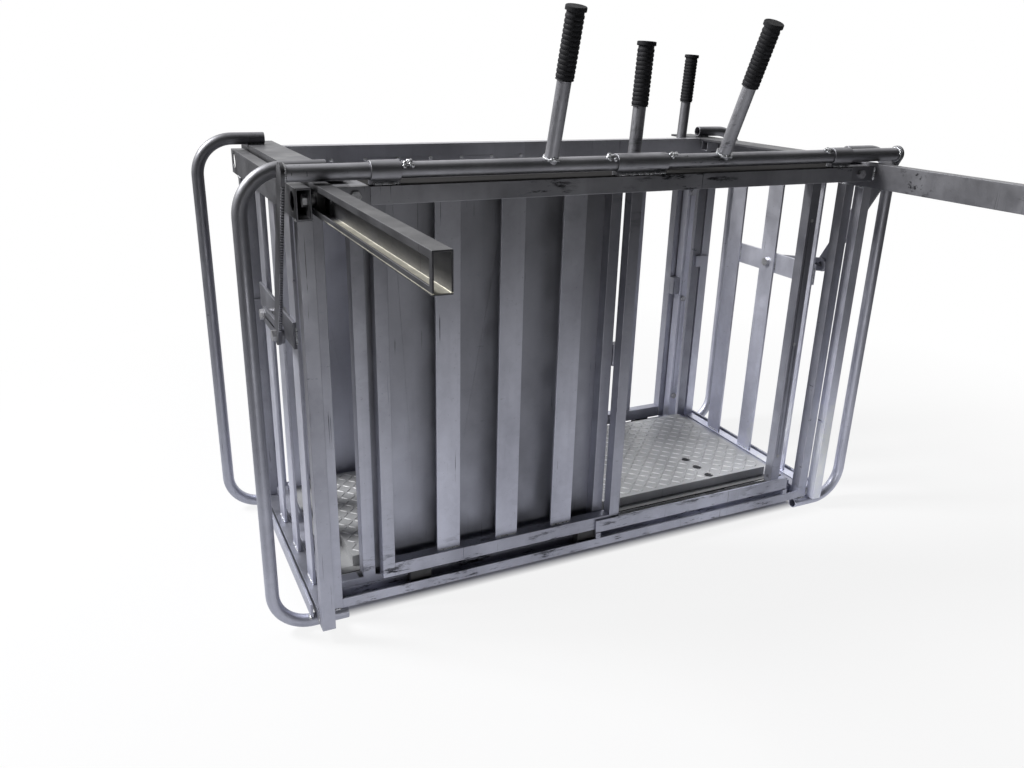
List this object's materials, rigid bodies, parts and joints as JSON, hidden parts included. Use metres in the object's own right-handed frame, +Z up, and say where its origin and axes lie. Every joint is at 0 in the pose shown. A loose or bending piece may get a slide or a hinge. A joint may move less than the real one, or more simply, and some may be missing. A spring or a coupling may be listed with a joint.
{
  "type": "livestock weighing crate",
  "caption": "Galvanised sheep weighing crate with lever-worked sliding end gates, sliding side doors and corner loops.",
  "frame": {"origin": "on the ground, in the middle of the box round the whole crate", "axes": "+X along the crate from its left end to its right end, +Y from the lever side to the far side, +Z up"},
  "size_m": [1.449, 1.2, 1.1276],
  "materials": {
    "galvanised_tube": "galvanised, dull",
    "galvanised_sheet": "galvanised, rolled",
    "zinc_fastener": "zinc plated",
    "rubber_grip": "ribbed, matt",
    "nylon": "moulded"
  },
  "bodies": {
    "frame": {"left_gate_track": "galvanised_tube", "right_gate_track": "galvanised_tube", "end_posts": "galvanised_tube", "end_sills": "galvanised_tube", "end_top_plates": "galvanised_tube", "gate_guide_lips": "galvanised_tube", "left_loops": "galvanised_tube", "right_loops": "galvanised_tube", "near_top_rail": "galvanised_tube", "far_top_rail": "galvanised_tube", "rail_sockets": "galvanised_tube", "rail_bolts": "zinc_fastener", "bottom_channels": "galvanised_tube", "near_side_frame": "galvanised_tube", "far_side_frame": "galvanised_tube", "near_side_sheet": "galvanised_sheet", "far_side_sheet": "galvanised_sheet", "sheet_rivets": "zinc_fastener", "door_guide_strips": "galvanised_tube", "floor_plate": "galvanised_sheet", "floor_bearers": "galvanised_tube", "floor_joists": "galvanised_tube", "shaft_bearings": "galvanised_tube", "stile_bolts": "zinc_fastener"},
    "left_lever": {"left_shaft": "galvanised_tube", "left_lever_tube": "galvanised_tube", "left_lever_grip": "rubber_grip", "left_crank": "galvanised_tube", "left_crank_bolt": "zinc_fastener"},
    "left_link": {"left_link": "galvanised_tube"},
    "left_gate": {"left_gate_top_tube": "galvanised_tube", "left_gate_stiles": "galvanised_tube", "left_gate_slats": "galvanised_tube", "left_gate_rails": "galvanised_tube", "left_gate_glides": "nylon", "left_gate_bolts": "zinc_fastener"},
    "right_lever": {"right_shaft": "galvanised_tube", "right_lever_tube": "galvanised_tube", "right_lever_grip": "rubber_grip", "right_crank": "galvanised_tube", "right_crank_bolt": "zinc_fastener"},
    "right_link": {"right_link": "galvanised_tube"},
    "right_gate": {"right_gate_top_tube": "galvanised_tube", "right_gate_stiles": "galvanised_tube", "right_gate_slats": "galvanised_tube", "right_gate_rails": "galvanised_tube", "right_gate_glides": "nylon", "right_gate_bolts": "zinc_fastener"},
    "near_door": {"near_door_stiles": "galvanised_tube", "near_door_slats": "galvanised_tube", "near_door_rails": "galvanised_tube", "near_door_handle": "galvanised_tube", "near_door_grip": "rubber_grip", "near_door_glides": "nylon"},
    "far_door": {"far_door_stiles": "galvanised_tube", "far_door_slats": "galvanised_tube", "far_door_rails": "galvanised_tube", "far_door_handle": "galvanised_tube", "far_door_grip": "rubber_grip", "far_door_glides": "nylon"}
  },
  "joints": [
    {"name": "left_lever_turn", "type": "hinge", "parent": "frame", "child": "left_lever", "pos_m": [-0.49, -0.075, 0.869], "axis": [1, 0, 0], "range_deg": [-70.3, 0]},
    {"name": "left_gate_slide", "type": "slide", "parent": "frame", "child": "left_gate", "axis": [0, 1, 0], "range_m": [-0.38258, 0]},
    {"name": "left_link_turn", "type": "hinge", "parent": "left_gate", "child": "left_link", "pos_m": [-0.648, 0.20056, 0.571], "axis": [1, 0, 0], "range_deg": [-31.99, 0]},
    {"name": "right_lever_turn", "type": "hinge", "parent": "frame", "child": "right_lever", "pos_m": [0.49, -0.075, 0.869], "axis": [1, 0, 0], "range_deg": [-78.3, 0]},
    {"name": "right_gate_slide", "type": "slide", "parent": "frame", "child": "right_gate", "axis": [0, 1, 0], "range_m": [-0.42062, 0]},
    {"name": "right_link_turn", "type": "hinge", "parent": "right_gate", "child": "right_link", "pos_m": [0.648, 0.2386, 0.571], "axis": [1, 0, 0], "range_deg": [-24.68, 0]},
    {"name": "near_door_slide", "type": "slide", "parent": "frame", "child": "near_door", "axis": [1, 0, 0], "range_m": [0, 0.474]},
    {"name": "far_door_slide", "type": "slide", "parent": "frame", "child": "far_door", "axis": [1, 0, 0], "range_m": [-0.474, 0]}
  ],
  "couplings": [
    {"joint": "left_gate_slide", "follows": "left_lever_turn", "m_per_rad": 0.31173},
    {"joint": "left_link_turn", "follows": "left_lever_turn", "ratio": 0.45472},
    {"joint": "right_gate_slide", "follows": "right_lever_turn", "m_per_rad": 0.30771},
    {"joint": "right_link_turn", "follows": "right_lever_turn", "ratio": 0.315}
  ]
}
